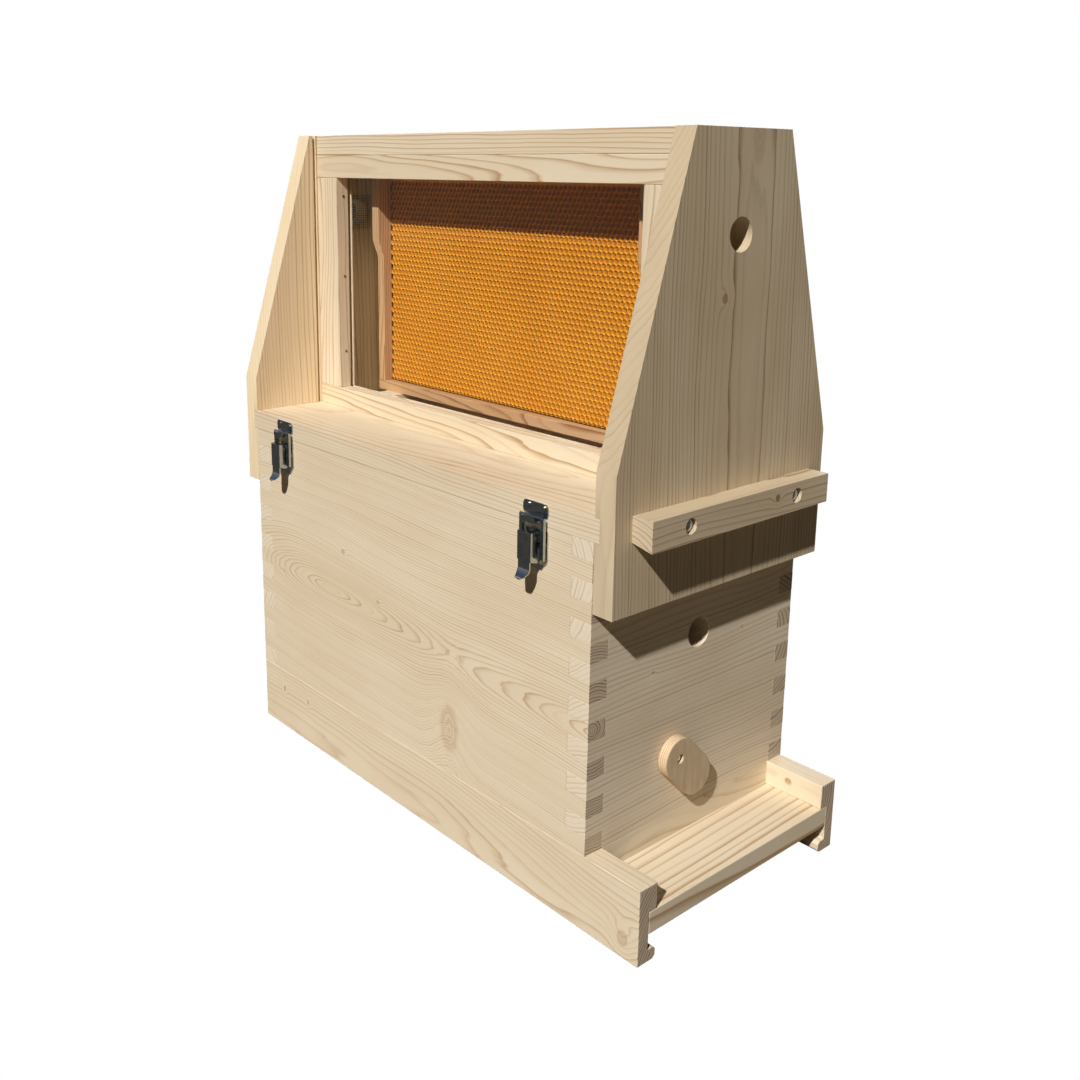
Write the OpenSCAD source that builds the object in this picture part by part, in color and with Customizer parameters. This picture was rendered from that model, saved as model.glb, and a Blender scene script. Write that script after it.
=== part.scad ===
// Observation nucleus beehive: a five-frame nucleus box on a railed floor, with a glazed
// section on top that shows one comb frame. Millimetres. +X is the entrance side, +Z is up,
// and the origin is the centre of the bounding box at ground level.

/* [Nucleus box] */
// Outer length of the box
box_l = 460; // [456:1:480]
// Outer width of the box
box_w = 241; // [238:1:260]
// Height of the box walls
box_h = 242.5; // [238:0.5:270]
// Thickness of the front and rear walls
end_wall_t = 21; // [20:0.5:24]
// Thickness of the side walls
side_wall_t = 18; // [15:0.5:18]
// Number of fingers in each corner joint
finger_count = 16; // [12:2:20]

/* [Floor] */
// Height of the two floor rails
rail_h = 61; // [58:1:80]
// Thickness of the floor rails
rail_t = 19; // [17:0.5:24]
// How far the landing board and rails reach past the front wall
landing_out = 55; // [45:1:90]
// Thickness of the landing board
landing_t = 18; // [12:0.5:18]

/* [Observation section] */
// Thickness of the lid board
lid_t = 18; // [15:0.5:22]
// Thickness of the two end panels
panel_t = 19; // [17:0.5:22]
// Height of the end panels' top above the ground
panel_top = 585; // [583:1:600]
// Width of the end panels at their top
panel_top_w = 107; // [104:1:140]
// Outer depth of the glazed section, face to face
window_w = 90.4; // [88:0.2:96]
// Width of the bee slot in the lid
slot_w = 40; // [20:1:44]

/* [Comb frames] */
// Length of a top bar with its lugs
top_bar_l = 432; // [430:1:433]
// Outer length between the side bars
comb_l = 356; // [350:1:360]
// Height of a frame
comb_h = 216; // [210:1:217]
// Spacing of the frames in the box
frame_pitch = 35; // [35:0.1:35.6]

/* [Hidden] */
$fn = 48;

// Cuts reach this far past a face
e = 1;
// Play between pieces that move past each other
play = 0.3;

// Long direction
batten_out = 18.5;
panel_gap = 0.5;
front_x = (box_l + panel_gap + panel_t + batten_out + landing_out) / 2 - landing_out;
rear_x = front_x - box_l;
mid_x = (front_x + rear_x) / 2;
panel_front_x = front_x + panel_gap;
panel_rear_x = rear_x - panel_gap;
inner_front_x = front_x - end_wall_t;
inner_rear_x = rear_x + end_wall_t;
landing_x = front_x + landing_out;
half_w = box_w / 2;
inner_half_w = half_w - side_wall_t;

// Heights
box_top = rail_h + box_h;
lid_top = box_top + lid_t;
finger_h = box_h / finger_count;
groove_low = 10;
landing_top = 40;
rail_groove_d = 8;
box_vent_z = rail_h + 145.4;
vent_r = 12.5;
mesh_t = 0.8;
mesh_half = 18;

// Frame seats in the end walls
frame_top = box_top - 8;
bar_t = 9.5;
lug_z = frame_top - bar_t;
rabbet_d = 9;
rabbet_z = lug_z - 9;
runner_t = 1.2;

// Entrance disc, a rounded plywood slide that turns about a screw
disc_t = 9;
disc_r = 17;
disc_pivot = [-26, rail_h + 50];
disc_far = [-6, rail_h + 30];
entrance_r = 11;
pivot_r = 2;
pivot_head_r = 3.2;
pivot_head_t = 2;
pivot_sunk = 3;
pivot_bite = 18;

// Glazed section
window_t = 18;
face_y = window_w / 2;
chamber_y = face_y - window_t;
glass_y = face_y - 13;
glass_t = 3;
glass_bite = 7.5;
sill_top = lid_top + 19.5;
head_low = panel_top - 39.6;
roof_low = panel_top - 18.5;
stile_w = 34;
nail_r = 1.3;
panel_bottom = box_top - 52.5;
panel_shoulder = box_top + 50.5;
lid_dado = 5;
panel_vent_z = panel_top - 73.6;
shutter_y = 49.5;
shutter_w = 2.5;
shutter_d = 5;

// Carrying battens
batten_half = 103;
batten_low = box_top + 1.5;
batten_h = 19;
batten_lip = 4;
batten_screw_y = 62.5;
batten_screw_z = box_top + 9.5;
batten_screw_x = panel_front_x + lid_dado + 1;
batten_screw_r = 2.4;
counterbore_r = 6;
counterbore_d = 5;
batten_head_r = 4.4;
batten_head_t = 2.2;

// Comb frame on show
comb_top = panel_top - 30;
comb_low = comb_top - comb_h;
rest_w = 24;
rest_inset = 15;
side_bar_t = 10;
hoffman_w = 34.4;
lower_w = 22;
foundation_t = 1.5;
bottom_bar_y = 6.25;

// Toggle latches, drawn on the near side: v is measured out from the wall
latch_x = [front_x - 58, rear_x + 53];
lever_pivot = [6.5, box_top - 9];
bail_pivot = [4, box_top - 24];
bail_bar = [4, box_top + 6];
bail_wire = 1.2;
bail_half_w = 13;
bail_arm_w = 3.2;
lever_half_w = 7.25;
sheet_t = 1.2;
pin_r = 1.5;
pin_play = 0.05;
bail_pin_r = 1;
screw_r = 1.6;
screw_bite = 12;
screw_head_r = 2.6;
screw_head_t = 1;
base_screw_x = 9.4;
base_screw_z = box_top - 15;
keeper_screw_x = 8.1;
keeper_screw_z = box_top + 12.8;

module pine() { color([0.91, 0.82, 0.66]) children(); }
module bar_wood() { color([0.84, 0.69, 0.50]) children(); }
module zinc() { color([0.55, 0.57, 0.58]) children(); }
module wax() { color([0.89, 0.62, 0.19]) children(); }
module mesh_grey() { color([0.45, 0.46, 0.47]) children(); }

// A box between two corners
module block(low, high) { translate(low) cube(high - low); }

// An outline in the YZ plane, drawn out along X from x
module along_x(x, length) { translate([x, 0, 0]) rotate([90, 0, 90]) linear_extrude(length) children(); }

// An outline in the XZ plane, drawn out along Y from y
module along_y(y, length) {
    translate([0, y + length, 0]) rotate([90, 0, 0]) linear_extrude(length) children();
}

// A round bar or hole along X
module rod_x(x, length, yz, r) {
    translate([x, yz[0], yz[1]]) rotate([0, 90, 0]) cylinder(h = length, r = r);
}

// A round bar or hole along Y
module rod_y(y, length, xz, r) {
    translate([xz[0], y, xz[1]]) rotate([-90, 0, 0]) cylinder(h = length, r = r);
}

// ---- Floor ----
foot_edge = 2.5;
rail_outline = [[-half_w, 0], [-half_w + rail_t - foot_edge, 0], [-half_w + rail_t, foot_edge],
    [-half_w + rail_t, groove_low - foot_edge], [-half_w + rail_t - foot_edge, groove_low],
    [-half_w + rail_t - rail_groove_d, groove_low], [-half_w + rail_t - rail_groove_d, landing_top],
    [-half_w + rail_t, landing_top], [-half_w + rail_t, rail_h], [-half_w, rail_h]];
rail_inner = half_w - rail_t;
groove_y = rail_inner + rail_groove_d;
module floor_rail() { along_x(rear_x, box_l + landing_out) polygon(rail_outline); }
module floor_rail_near() { pine() floor_rail(); }
module floor_rail_far() { pine() mirror([0, 1, 0]) floor_rail(); }
module landing_board() {
    pine() block([inner_front_x, -groove_y, landing_top - landing_t], [landing_x, groove_y, landing_top]);
}
module floor_front_batten() {
    pine() block([inner_front_x, -rail_inner, landing_top], [front_x, rail_inner, rail_h]);
}
module floor_rear_batten() {
    pine() block([rear_x, -rail_inner, landing_top], [inner_rear_x, rail_inner, rail_h]);
}
mesh_drop = 2;
module floor_mesh() {
    mesh_grey() block([inner_rear_x, -rail_inner, rail_h - mesh_drop],
        [inner_front_x, rail_inner, rail_h - mesh_drop + mesh_t]);
}
tray_t = 4;
tray_face_t = 9;
module inspection_tray() {
    pine() union() {
        block([rear_x, -groove_y + play, groove_low + play],
            [inner_front_x - 5, groove_y - play, groove_low + play + tray_t]);
        block([rear_x - tray_face_t, -rail_inner + play, groove_low + play],
            [rear_x - play, rail_inner - play, landing_top - play]);
        block([rear_x - play - e, -rail_inner + play, groove_low + play],
            [rear_x + e, rail_inner - play, groove_low + play + tray_t]);
    }
}

// ---- Nucleus box ----
// Pockets for the fingers that belong to the other board, at one corner
module finger_pockets(x0, x1, y0, y1, first) {
    for (k = [first:2:finger_count - 1])
        block([x0, y0, rail_h + k * finger_h - (k == 0 ? e : 0)],
            [x1, y1, rail_h + (k + 1) * finger_h + (k == finger_count - 1 ? e : 0)]);
}
module end_wall(x0, x1, first) {
    difference() {
        block([x0, -half_w, rail_h], [x1, half_w, box_top]);
        for (side = [0, 1])
            mirror([0, side, 0])
                finger_pockets(x0 - e, x1 + e, -half_w - e, -inner_half_w, first);
    }
}
module front_wall() {
    pine() difference() {
        end_wall(inner_front_x, front_x, 0);
        block([inner_front_x - e, -inner_half_w, rabbet_z],
            [inner_front_x + rabbet_d, inner_half_w, box_top + e]);
        rod_x(inner_front_x - e, end_wall_t + 2 * e, [0, box_vent_z], vent_r);
        rod_x(inner_front_x - e, end_wall_t + 2 * e, disc_far, entrance_r);
        rod_x(front_x - pivot_bite, pivot_bite + e, disc_pivot, pivot_r);
    }
}
module rear_wall() {
    pine() difference() {
        end_wall(rear_x, inner_rear_x, 1);
        block([inner_rear_x - rabbet_d, -inner_half_w, rabbet_z],
            [inner_rear_x + e, inner_half_w, box_top + e]);
    }
}
module side_wall() {
    difference() {
        block([rear_x, -half_w, rail_h], [front_x, -inner_half_w, box_top]);
        finger_pockets(inner_front_x, front_x + e, -half_w - e, -inner_half_w + e, 1);
        finger_pockets(rear_x - e, inner_rear_x, -half_w - e, -inner_half_w + e, 0);
        for (n = [1, 2], s = [-1, 1])
            at_latch(n) translate([s * base_screw_x, 0, base_screw_z]) screw_hole();
    }
}
module side_wall_near() { pine() side_wall(); }
module side_wall_far() { pine() mirror([0, 1, 0]) side_wall(); }
module frame_runner() {
    block([inner_front_x, -inner_half_w, rabbet_z], [inner_front_x + runner_t, inner_half_w, lug_z]);
    block([inner_front_x, -inner_half_w, rabbet_z],
        [inner_front_x + rabbet_d, inner_half_w, rabbet_z + runner_t]);
}
module frame_runners() {
    zinc() for (side = [0, 1])
        translate([mid_x, 0, 0]) mirror([side, 0, 0]) translate([-mid_x, 0, 0]) frame_runner();
}
module box_vent_mesh() {
    mesh_grey() block([inner_front_x - mesh_t, -mesh_half, box_vent_z - mesh_half],
        [inner_front_x, mesh_half, box_vent_z + mesh_half]);
}
// Where the screw head bears, below the face of the disc
disc_seat_x = front_x + play + disc_t - pivot_head_t - pivot_sunk;
module entrance_disc() {
    pine() difference() {
        hull() {
            rod_x(front_x + play, disc_t, disc_pivot, disc_r);
            rod_x(front_x + play, disc_t, disc_far, disc_r);
        }
        rod_x(front_x, disc_t + e, disc_pivot, pivot_r + pin_play);
        rod_x(disc_seat_x, pivot_head_t + pivot_sunk + e, disc_pivot, pivot_head_r + play);
    }
}
module entrance_disc_screw() {
    zinc() union() {
        rod_x(front_x - pivot_bite, disc_seat_x + play - front_x + pivot_bite, disc_pivot, pivot_r);
        rod_x(disc_seat_x + play, pivot_head_t, disc_pivot, pivot_head_r);
    }
}

// ---- Latches ----
// Places a latch drawn at x = 0 with v along +Y: 1 and 2 on the near side, 3 and 4 on the far side
module at_latch(n) {
    translate([latch_x[(n - 1) % 2], 0, 0])
        mirror([0, n < 3 ? 1 : 0, 0]) translate([0, half_w, 0]) children();
}
ear_x = 4.6;
ear_r = 3.2;
pin_out = 0.8;
base_half_w = 13;
base_shoulder = box_top - 26;
base_outline = [[-base_half_w, box_top - 4], [-base_half_w, base_shoulder], [-7, box_top - 33.5],
    [7, box_top - 33.5], [base_half_w, base_shoulder], [base_half_w, box_top - 4]];
module latch_base() {
    difference() {
        along_y(0, sheet_t) polygon(base_outline);
        for (s = [-1, 1])
            translate([s * base_screw_x, 0, base_screw_z]) screw_hole();
    }
    for (s = [-1, 1])
        along_x(s * ear_x - sheet_t / 2, sheet_t) union() {
            translate([0, lever_pivot[1] - ear_r]) square([lever_pivot[0], 2 * ear_r]);
            translate(lever_pivot) circle(ear_r);
        }
    rod_x(-lever_half_w - pin_out, 2 * (lever_half_w + pin_out), lever_pivot, pin_r);
}
lever_face = 12;
lever_top = box_top - 4;
lever_low = box_top - 26;
lever_side = [[lever_face, lever_top], [lever_face, lever_low], [6, lever_low - 1.5],
    [2.4, lever_low - 0.4], [2.4, lever_low + 4], [3.4, lever_top - 6], [5, lever_top - 2],
    [7.5, lever_top]];
module latch_lever() {
    difference() {
        union() {
            for (s = [-1, 1])
                along_x(s * (lever_half_w - sheet_t / 2) - sheet_t / 2, sheet_t) polygon(lever_side);
            block([-lever_half_w, lever_face - sheet_t, lever_low], [lever_half_w, lever_face, lever_top]);
            thumb_tab();
        }
        rod_x(-lever_half_w - e, 2 * lever_half_w + 2 * e, lever_pivot, pin_r + pin_play);
        rod_x(-lever_half_w - e, 2 * lever_half_w + 2 * e, bail_pivot, bail_pin_r + pin_play);
    }
}
// A round-ended tongue below the channel that curls out to its tip
tab_half_w = 6.2;
tab_curl_r = 9;
tab_curl_z = box_top - 30.3;
tab_low = box_top - 39;
tab_reach = 30;
module thumb_tab() {
    intersection() {
        along_x(-tab_half_w, 2 * tab_half_w) union() {
            translate([lever_face - sheet_t, tab_curl_z]) square([sheet_t, lever_low + 1 - tab_curl_z]);
            translate([lever_face - sheet_t + tab_curl_r, tab_curl_z]) difference() {
                circle(tab_curl_r);
                circle(tab_curl_r - sheet_t);
                translate([-2 * tab_curl_r, 0]) square([4 * tab_curl_r, 2 * tab_curl_r]);
                rotate(-15) translate([0, -2 * tab_curl_r]) square([4 * tab_curl_r, 4 * tab_curl_r]);
            }
        }
        union() {
            rod_y(0, tab_reach, [0, tab_low + tab_half_w], tab_half_w);
            block([-tab_half_w, 0, tab_low + tab_half_w], [tab_half_w, tab_reach, box_top]);
        }
    }
}
module latch_bail() {
    bar_in = bail_half_w - bail_arm_w;
    rod_x(-bail_half_w, 2 * bail_half_w, bail_bar, bail_wire);
    for (s = [-1, 1]) {
        along_x(s * (bail_half_w - bail_arm_w / 2) - bail_arm_w / 2, bail_arm_w) union() {
            translate([bail_pivot[0] - bail_wire, bail_pivot[1]])
                square([2 * bail_wire, bail_bar[1] - bail_pivot[1]]);
            translate(bail_pivot) circle(bail_wire);
        }
        rod_x(s > 0 ? lever_half_w - sheet_t : -bar_in - e, bar_in + e - lever_half_w + sheet_t,
            bail_pivot, bail_pin_r);
    }
}
// A round-cornered plate whose narrow tongue is bent up into a hook for the bail
hook_low = box_top + 2.8;
hook_half_w = 7;
hook_out = 7.8;
hook_rise = 4.2;
hook_gap = 0.4;
keeper_low = box_top + 6;
keeper_top = box_top + 16.5;
keeper_half_w = 13.2;
corner_r = 3.5;
module latch_keeper() {
    inner_w = keeper_half_w - corner_r;
    difference() {
        union() {
            block([-inner_w, 0, keeper_low], [inner_w, sheet_t, keeper_top]);
            block([-keeper_half_w, 0, keeper_low + corner_r], [keeper_half_w, sheet_t, keeper_top - corner_r]);
            block([-hook_half_w, 0, hook_low], [hook_half_w, sheet_t, keeper_low + e]);
            for (s = [-1, 1], z = [keeper_low + corner_r, keeper_top - corner_r])
                rod_y(0, sheet_t, [s * inner_w, z], corner_r);
        }
        for (s = [-1, 1])
            translate([s * keeper_screw_x, 0, keeper_screw_z]) screw_hole();
    }
    along_x(-hook_half_w, 2 * hook_half_w) difference() {
        translate([hook_gap, hook_low]) square([hook_out + sheet_t - hook_gap, hook_rise]);
        translate([hook_gap + sheet_t, hook_low + sheet_t]) square([hook_out - hook_gap - sheet_t, hook_rise]);
    }
}
// Pan-head screw driven towards the wall, its head on the sheet
module sheet_screw() {
    rotate([-90, 0, 0]) union() {
        translate([0, 0, -screw_bite]) cylinder(h = screw_bite + sheet_t, r = screw_r);
        translate([0, 0, sheet_t]) cylinder(h = screw_head_t, r = screw_head_r);
    }
}
module screw_hole() {
    rotate([-90, 0, 0]) translate([0, 0, -screw_bite]) cylinder(h = screw_bite + sheet_t + e, r = screw_r);
}
module latch_1_base() { zinc() at_latch(1) latch_base(); }
module latch_2_base() { zinc() at_latch(2) latch_base(); }
module latch_3_base() { zinc() at_latch(3) latch_base(); }
module latch_4_base() { zinc() at_latch(4) latch_base(); }
module latch_1_lever() { zinc() at_latch(1) latch_lever(); }
module latch_2_lever() { zinc() at_latch(2) latch_lever(); }
module latch_3_lever() { zinc() at_latch(3) latch_lever(); }
module latch_4_lever() { zinc() at_latch(4) latch_lever(); }
module latch_1_bail() { zinc() at_latch(1) latch_bail(); }
module latch_2_bail() { zinc() at_latch(2) latch_bail(); }
module latch_3_bail() { zinc() at_latch(3) latch_bail(); }
module latch_4_bail() { zinc() at_latch(4) latch_bail(); }
module latch_base_screws() {
    zinc() for (n = [1:4], s = [-1, 1])
        at_latch(n) translate([s * base_screw_x, 0, base_screw_z]) sheet_screw();
}
module latch_keepers() { zinc() for (n = [1:4]) at_latch(n) latch_keeper(); }
module keeper_screws() {
    zinc() for (n = [1:4], s = [-1, 1])
        at_latch(n) translate([s * keeper_screw_x, 0, keeper_screw_z]) sheet_screw();
}

// ---- Observation section ----
slot_front_x = front_x - 30;
slot_rear_x = rear_x + 30;
module lid_board() {
    pine() difference() {
        block([panel_rear_x - lid_dado, -half_w, box_top], [panel_front_x + lid_dado, half_w, lid_top]);
        block([slot_rear_x, -slot_w / 2, box_top - e], [slot_front_x, slot_w / 2, lid_top + e]);
        for (n = [1:4], s = [-1, 1])
            at_latch(n) translate([s * keeper_screw_x, 0, keeper_screw_z]) screw_hole();
    }
}
panel_outline = [[-half_w, panel_bottom], [half_w, panel_bottom], [half_w, panel_shoulder],
    [panel_top_w / 2, panel_top], [-panel_top_w / 2, panel_top], [-half_w, panel_shoulder]];
module end_panel() {
    difference() {
        along_x(panel_front_x, panel_t) polygon(panel_outline);
        block([panel_front_x - e, -half_w - e, box_top], [panel_front_x + lid_dado, half_w + e, lid_top]);
        for (s = [0, 1]) mirror([0, s, 0])
            block([panel_front_x - e, -shutter_y, lid_top],
                [panel_front_x + shutter_d, -shutter_y + shutter_w, panel_top + e]);
        rod_x(panel_front_x - e, panel_t + 2 * e, [0, panel_vent_z], vent_r);
        for (s = [-1, 1])
            rod_x(batten_screw_x, panel_t + 2 * e, [s * batten_screw_y, batten_screw_z], batten_screw_r);
    }
}
// Copies a front piece to the rear, mirrored about the middle of the box
module to_rear() { translate([2 * mid_x, 0, 0]) mirror([1, 0, 0]) children(); }
module end_panel_front() { pine() end_panel(); }
module end_panel_rear() { pine() to_rear() end_panel(); }
module carry_batten() {
    batten_x = panel_front_x + panel_t;
    difference() {
        along_y(-batten_half, 2 * batten_half)
            polygon([[batten_x, batten_low], [batten_x + batten_out, batten_low - batten_lip],
                [batten_x + batten_out, batten_low + batten_h], [batten_x, batten_low + batten_h]]);
        for (s = [-1, 1]) {
            rod_x(batten_x - e, batten_out + 2 * e, [s * batten_screw_y, batten_screw_z], batten_screw_r);
            rod_x(batten_x + batten_out - counterbore_d, counterbore_d + e,
                [s * batten_screw_y, batten_screw_z], counterbore_r);
        }
    }
}
module carry_batten_front() { pine() carry_batten(); }
module carry_batten_rear() { pine() to_rear() carry_batten(); }
module batten_screw() {
    head_x = panel_front_x + panel_t + batten_out - counterbore_d;
    rod_x(batten_screw_x, head_x - batten_screw_x, [0, 0], batten_screw_r);
    rod_x(head_x, batten_head_t, [0, 0], batten_head_r);
}
module batten_screw_pair() {
    for (s = [-1, 1]) translate([0, s * batten_screw_y, batten_screw_z]) batten_screw();
}
module batten_screws() {
    zinc() union() {
        batten_screw_pair();
        to_rear() batten_screw_pair();
    }
}
// A window member of one side, with the kerf for the glass
module window_member(low, high) {
    difference() {
        block([low[0], -face_y, low[1]], [high[0], -chamber_y, high[1]]);
        block([panel_rear_x + stile_w - glass_bite, -glass_y, sill_top - glass_bite],
            [panel_front_x - stile_w + glass_bite, -glass_y + glass_t, head_low + glass_bite]);
    }
}
module window_sill() { window_member([panel_rear_x, lid_top], [panel_front_x, sill_top]); }
module window_head() { window_member([panel_rear_x, head_low], [panel_front_x, roof_low]); }
module window_stile_front() {
    window_member([panel_front_x - stile_w, sill_top], [panel_front_x, head_low]);
}
module window_stile_rear() {
    window_member([panel_rear_x, sill_top], [panel_rear_x + stile_w, head_low]);
}
module window_near_sill() { pine() window_sill(); }
module window_near_head() { pine() window_head(); }
module window_near_stile_front() { pine() window_stile_front(); }
module window_near_stile_rear() { pine() window_stile_rear(); }
module window_far_sill() { pine() mirror([0, 1, 0]) window_sill(); }
module window_far_head() { pine() mirror([0, 1, 0]) window_head(); }
module window_far_stile_front() { pine() mirror([0, 1, 0]) window_stile_front(); }
module window_far_stile_rear() { pine() mirror([0, 1, 0]) window_stile_rear(); }
module glass() {
    block([panel_rear_x + stile_w - glass_bite, -glass_y, sill_top - glass_bite],
        [panel_front_x - stile_w + glass_bite, -glass_y + glass_t, head_low + glass_bite]);
}
module glass_near() { color([0.75, 0.85, 0.85, 0.3]) glass(); }
module glass_far() { color([0.75, 0.85, 0.85, 0.3]) mirror([0, 1, 0]) glass(); }
// Nail heads in the reveal of each stile, just in front of the glass
nail_z = [panel_top - 57, panel_top - 134, panel_top - 208];
module window_nails() {
    zinc() for (side = [0, 1], z = nail_z) mirror([0, side, 0]) {
        rod_x(panel_rear_x + stile_w, 0.4, [-face_y + 7.5, z], nail_r);
        rod_x(panel_front_x - stile_w - 0.4, 0.4, [-face_y + 7.5, z], nail_r);
    }
}
module panel_vent_mesh() {
    block([panel_front_x - mesh_t, -mesh_half, panel_vent_z - mesh_half],
        [panel_front_x, mesh_half, panel_vent_z + mesh_half]);
}
module panel_vent_meshes() {
    mesh_grey() union() {
        panel_vent_mesh();
        to_rear() panel_vent_mesh();
    }
}
comb_half = comb_l / 2;
module comb_rests() {
    pine() for (s = [-1, 1])
        translate([mid_x + s * (comb_half - rest_inset - rest_w / 2) - rest_w / 2, -chamber_y, lid_top])
            cube([rest_w, 2 * chamber_y, comb_low - lid_top]);
}
module roof_board() {
    pine() block([panel_rear_x + play, -face_y, roof_low], [panel_front_x - play, face_y, panel_top]);
}

// ---- Comb frame, drawn at the place of the one on show ----
module top_bar() {
    block([mid_x - top_bar_l / 2, -lower_w / 2, comb_top - bar_t],
        [mid_x + top_bar_l / 2, lower_w / 2, comb_top]);
}
side_bar_outline = [[-lower_w / 2, comb_low], [lower_w / 2, comb_low], [lower_w / 2, comb_top - 85],
    [hoffman_w / 2, comb_top - 68], [hoffman_w / 2, comb_top - bar_t], [-hoffman_w / 2, comb_top - bar_t],
    [-hoffman_w / 2, comb_top - 68], [-lower_w / 2, comb_top - 85]];
module side_bar() {
    difference() {
        along_x(mid_x + comb_half - side_bar_t, side_bar_t) polygon(side_bar_outline);
        for (s = [-1, 1])
            block([mid_x + comb_half - side_bar_t - e, s * bottom_bar_y - bar_t / 2, comb_low - e],
                [mid_x + comb_half + e, s * bottom_bar_y + bar_t / 2, comb_low + bar_t]);
    }
}
module bottom_bars() {
    for (s = [-1, 1])
        block([mid_x - comb_half, s * bottom_bar_y - bar_t / 2, comb_low],
            [mid_x + comb_half, s * bottom_bar_y + bar_t / 2, comb_low + bar_t]);
}
module foundation() {
    block([mid_x - comb_half + side_bar_t, -foundation_t / 2, comb_low + 2],
        [mid_x + comb_half - side_bar_t, foundation_t / 2, comb_top - bar_t]);
}
module comb_top_bar() { bar_wood() top_bar(); }
module comb_side_bar_front() { bar_wood() side_bar(); }
module comb_side_bar_rear() { bar_wood() to_rear() side_bar(); }
module comb_bottom_bars() { bar_wood() bottom_bars(); }
module comb_foundation() { wax() foundation(); }
module nuc_frame(n) {
    translate([0, (n - 3) * frame_pitch, frame_top - comb_top]) {
        bar_wood() union() {
            top_bar();
            side_bar();
            to_rear() side_bar();
            bottom_bars();
        }
        wax() foundation();
    }
}
module nuc_frame_1() { nuc_frame(1); }
module nuc_frame_2() { nuc_frame(2); }
module nuc_frame_3() { nuc_frame(3); }
module nuc_frame_4() { nuc_frame(4); }
module nuc_frame_5() { nuc_frame(5); }

floor_rail_near();
floor_rail_far();
landing_board();
floor_front_batten();
floor_rear_batten();
floor_mesh();
inspection_tray();
front_wall();
rear_wall();
side_wall_near();
side_wall_far();
frame_runners();
box_vent_mesh();
entrance_disc();
entrance_disc_screw();
latch_1_base();
latch_2_base();
latch_3_base();
latch_4_base();
latch_1_lever();
latch_2_lever();
latch_3_lever();
latch_4_lever();
latch_1_bail();
latch_2_bail();
latch_3_bail();
latch_4_bail();
latch_base_screws();
latch_keepers();
keeper_screws();
lid_board();
end_panel_front();
end_panel_rear();
carry_batten_front();
carry_batten_rear();
batten_screws();
window_near_sill();
window_near_head();
window_near_stile_front();
window_near_stile_rear();
window_far_sill();
window_far_head();
window_far_stile_front();
window_far_stile_rear();
glass_near();
glass_far();
window_nails();
panel_vent_meshes();
comb_rests();
roof_board();
comb_top_bar();
comb_side_bar_front();
comb_side_bar_rear();
comb_bottom_bars();
comb_foundation();
nuc_frame_1();
nuc_frame_2();
nuc_frame_3();
nuc_frame_4();
nuc_frame_5();
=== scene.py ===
"""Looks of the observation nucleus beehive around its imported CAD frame.

Metres; +X is the entrance side and -Y the near side.
"""
import functools
import math

import bmesh
import bpy
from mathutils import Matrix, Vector


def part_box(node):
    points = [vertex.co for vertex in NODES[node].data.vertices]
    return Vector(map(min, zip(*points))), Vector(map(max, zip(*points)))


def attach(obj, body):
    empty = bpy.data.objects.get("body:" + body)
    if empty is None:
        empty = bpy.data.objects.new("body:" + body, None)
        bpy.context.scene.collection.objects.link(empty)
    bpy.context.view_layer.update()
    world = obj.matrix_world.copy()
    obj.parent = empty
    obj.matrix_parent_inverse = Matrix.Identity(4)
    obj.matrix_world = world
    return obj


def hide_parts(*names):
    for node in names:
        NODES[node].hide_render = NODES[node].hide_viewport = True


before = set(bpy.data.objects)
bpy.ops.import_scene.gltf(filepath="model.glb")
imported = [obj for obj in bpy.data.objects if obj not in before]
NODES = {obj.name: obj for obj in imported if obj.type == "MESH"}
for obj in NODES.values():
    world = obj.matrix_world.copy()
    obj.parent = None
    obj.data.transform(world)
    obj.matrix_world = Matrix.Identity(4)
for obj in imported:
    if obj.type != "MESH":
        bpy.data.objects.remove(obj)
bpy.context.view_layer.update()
MM = 0.001


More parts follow.
